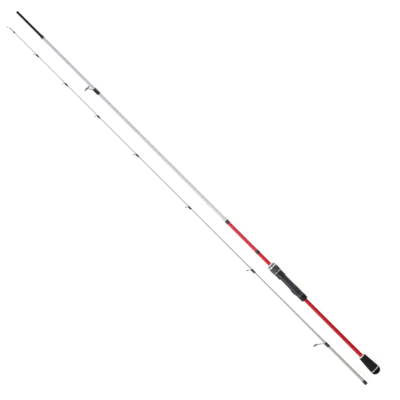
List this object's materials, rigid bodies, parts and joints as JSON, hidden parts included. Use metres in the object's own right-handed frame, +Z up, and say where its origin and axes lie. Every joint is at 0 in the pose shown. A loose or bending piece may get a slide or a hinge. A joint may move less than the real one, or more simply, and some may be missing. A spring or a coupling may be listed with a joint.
{
  "type": "two-piece spinning rod",
  "caption": "Slim fishing rod in two sections lying side by side: a butt section with reel seat and foam grip, and a tapered tip section with ringed line guides.",
  "frame": {"origin": "under the middle of the two sections as they lie side by side, on the floor", "axes": "+X from the butt to the tip along both sections, +Y towards the side that the guides stand on, +Z up"},
  "size_m": [1.246, 0.0804, 0.0248],
  "materials": {
    "blank_paint": "glossy red lacquer, pale silver ahead of the trim bands, bare black ferrule",
    "blank_glass": "satin silver-white lacquer",
    "thread_wrap": "black thread under clear varnish, maroon at one end",
    "pale_band": "silver-white thread under clear varnish",
    "seat_graphite": "satin graphite-filled nylon",
    "black_plastic": "satin black",
    "bright_metal": "polished",
    "guide_metal": "dark polished",
    "guide_ceramic": "polished",
    "grip_foam": "matte closed-cell foam",
    "arbor_cork": "matte cork"
  },
  "bodies": {
    "butt_section": {"butt_blank": "blank_paint", "butt_cap": "black_plastic", "grip_ring": "bright_metal", "butt_grip": "grip_foam", "grip_check": "bright_metal", "seat_rear_cap": "black_plastic", "seat_rear_ring": "bright_metal", "reel_seat": "seat_graphite", "seat_front_ring": "bright_metal", "seat_front_cap": "black_plastic", "winding_check": "bright_metal", "rear_arbor": "arbor_cork", "front_arbor": "arbor_cork", "rear_trim_wrap": "thread_wrap", "front_trim_wrap": "thread_wrap", "pale_trim_wrap": "pale_band", "stripper_frame": "guide_metal", "stripper_ring": "guide_ceramic", "stripper_wrap": "thread_wrap", "ferrule_wrap": "thread_wrap"},
    "hood": {"sliding_hood": "seat_graphite", "hood_ring": "bright_metal"},
    "nut": {"locking_nut": "seat_graphite"},
    "tip_section": {"tip_blank": "blank_glass", "socket_wrap": "thread_wrap", "guide_1_frame": "guide_metal", "guide_1_ring": "guide_ceramic", "guide_1_wrap": "thread_wrap", "guide_2_frame": "guide_metal", "guide_2_ring": "guide_ceramic", "guide_2_wrap": "thread_wrap", "guide_3_frame": "guide_metal", "guide_3_ring": "guide_ceramic", "guide_3_wrap": "thread_wrap", "guide_4_frame": "guide_metal", "guide_4_ring": "guide_ceramic", "guide_4_wrap": "thread_wrap", "guide_5_frame": "guide_metal", "guide_5_ring": "guide_ceramic", "guide_5_wrap": "thread_wrap", "guide_6_frame": "guide_metal", "guide_6_ring": "guide_ceramic", "guide_6_wrap": "thread_wrap", "guide_7_frame": "guide_metal", "guide_7_ring": "guide_ceramic", "guide_7_wrap": "thread_wrap", "tip_top_frame": "guide_metal", "tip_top_ring": "guide_ceramic", "tip_top_wrap": "thread_wrap"}
  },
  "joints": [
    {"name": "hood_travel", "type": "slide", "parent": "butt_section", "child": "hood", "axis": [-1, 0, 0], "range_m": [0, 0.0125]},
    {"name": "nut_turn", "type": "hinge", "parent": "hood", "child": "nut", "pos_m": [-0.2668, -0.02776, 0.0124], "axis": [-1, 0, 0], "range_deg": [0, 1800]},
    {"name": "tip_slide", "type": "slide", "parent": "butt_section", "child": "tip_section", "axis": [1, 0, 0], "range_m": [0, 1.26]}
  ],
  "couplings": [
    {"joint": "hood_travel", "follows": "nut_turn", "m_per_rad": 0.00039789}
  ]
}
